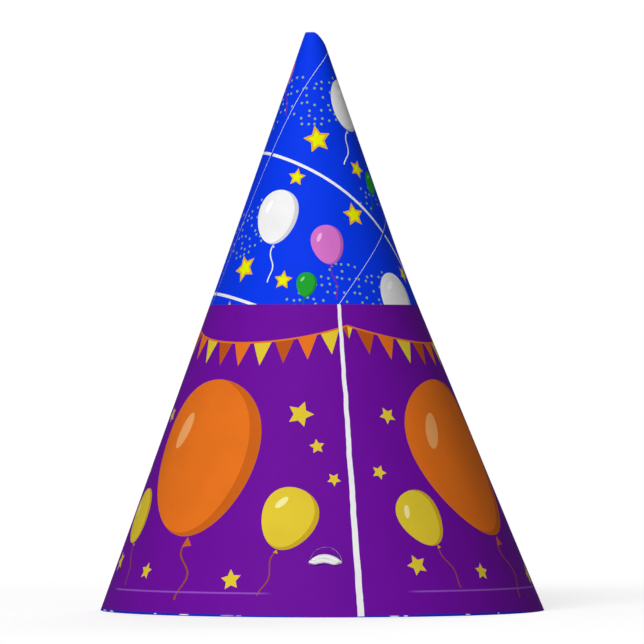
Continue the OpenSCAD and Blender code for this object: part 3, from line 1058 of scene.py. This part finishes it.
# %% [markdown]
# ## Floor and light
#
# The photograph has a plain white ground. A wide pale floor carries the hat and its soft shadow, and
# fades into the white world behind. The world is full white only where the camera looks straight at it;
# as a light it is much weaker, so that the far side of the hat falls off as it does in the photograph.
# One large soft lamp from the front left does the rest, and a weaker one behind keeps the back from
# going black. A small lamp would draw a hard edge of shadow.

# %% Pale floor that keeps the shadow and fades to white
# Distances from the hat between which it fades, in metres, and the light added where the camera sees it
FADE_FROM, FADE_TO, FLOOR_LIFT = 0.1, 0.36, 0.62
bpy.ops.mesh.primitive_circle_add(vertices=96, radius=6, fill_type="NGON")
floor = bpy.context.object
floor.name = "floor"
floor_paint, tree = new_material("white_paper_floor")
place = add(tree, "TexCoord").outputs["Object"]
from_hat = add(tree, "VectorMath", {"operation": "LENGTH"}, in0=place).outputs["Value"]
fade = add(tree, "MapRange", {"interpolation_type": "SMOOTHSTEP"}, Value=from_hat,
           in1=FADE_FROM, in2=FADE_TO).outputs[0]
camera_ray = add(tree, "LightPath").outputs["Is Camera Ray"]
paper = add(tree, "BsdfDiffuse", Color=colour("#D8D8D8"))
lift = add(tree, "Emission", Color=(1, 1, 1, 1), Strength=calc(tree, "MULTIPLY", camera_ray, FLOOR_LIFT))
lifted = add(tree, "AddShader", in0=paper.outputs[0], in1=lift.outputs[0])
white = add(tree, "Emission", Color=(1, 1, 1, 1), Strength=1.0)
far_and_seen = calc(tree, "MULTIPLY", fade, camera_ray)
both = add(tree, "MixShader", in0=far_and_seen, in1=lifted.outputs[0], in2=white.outputs[0])
add(tree, "OutputMaterial", Surface=both.outputs[0])
floor.data.materials.append(floor_paint)

# %% White world for the camera, weak even light for the hat
HAT_LIGHT, SEEN_LIGHT = 0.1, 1.0
world = bpy.data.worlds.new("studio")
bpy.context.scene.world = world
world.use_nodes = True
tree = world.node_tree
tree.nodes.clear()
camera_ray = add(tree, "LightPath").outputs["Is Camera Ray"]
strength = ramp(tree, camera_ray, 0.0, 1.0, HAT_LIGHT, SEEN_LIGHT)
sky = add(tree, "Background", Color=(1, 1, 1, 1), Strength=strength)
add(tree, "OutputWorld", Surface=sky.outputs[0])


# %% Large soft key lamp from the front left, and a weaker one behind
LAMP_AIM = Vector((0, 0, 0.08))


def lamp(name, azimuth, elevation, distance, size, power):
    a, e = radians(azimuth), radians(elevation)
    at = Vector((sin(a) * cos(e), -cos(a) * cos(e), sin(e))) * distance + LAMP_AIM
    bpy.ops.object.light_add(type="AREA", location=at)
    light = bpy.context.object
    light.name = name
    light.data.shape = "DISK"
    light.data.size = size
    light.data.energy = power
    light.rotation_euler = (LAMP_AIM - at).to_track_quat("-Z", "Y").to_euler()
    return light


key = lamp("key", azimuth=-20, elevation=18, distance=2.2, size=1.2, power=42)
back_light = lamp("back", azimuth=165, elevation=28, distance=2.2, size=1.4, power=16)
# Its reflection would grey the hat's right-hand outline
back_light.visible_glossy = False
print("lamps, W:", key.data.energy, back_light.data.energy)
bpy.context.scene.view_settings.view_transform = "Standard"

# %% [markdown]
# ## Handing the pieces to the frame
#
# Every piece rides on the one body of the hat, and the CAD node that it stands for is hidden.

# %% Riding, and hiding the CAD nodes that the pieces replace
for piece, node, slot in (
    (sheet, "card_cone", "printed_card"), (chin_strand, "chin_elastic", "elastic"),
    (front_hook, "front_loop", "elastic"), (back_hook, "back_loop", "elastic"),
):
    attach(piece, "root")
    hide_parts(node)
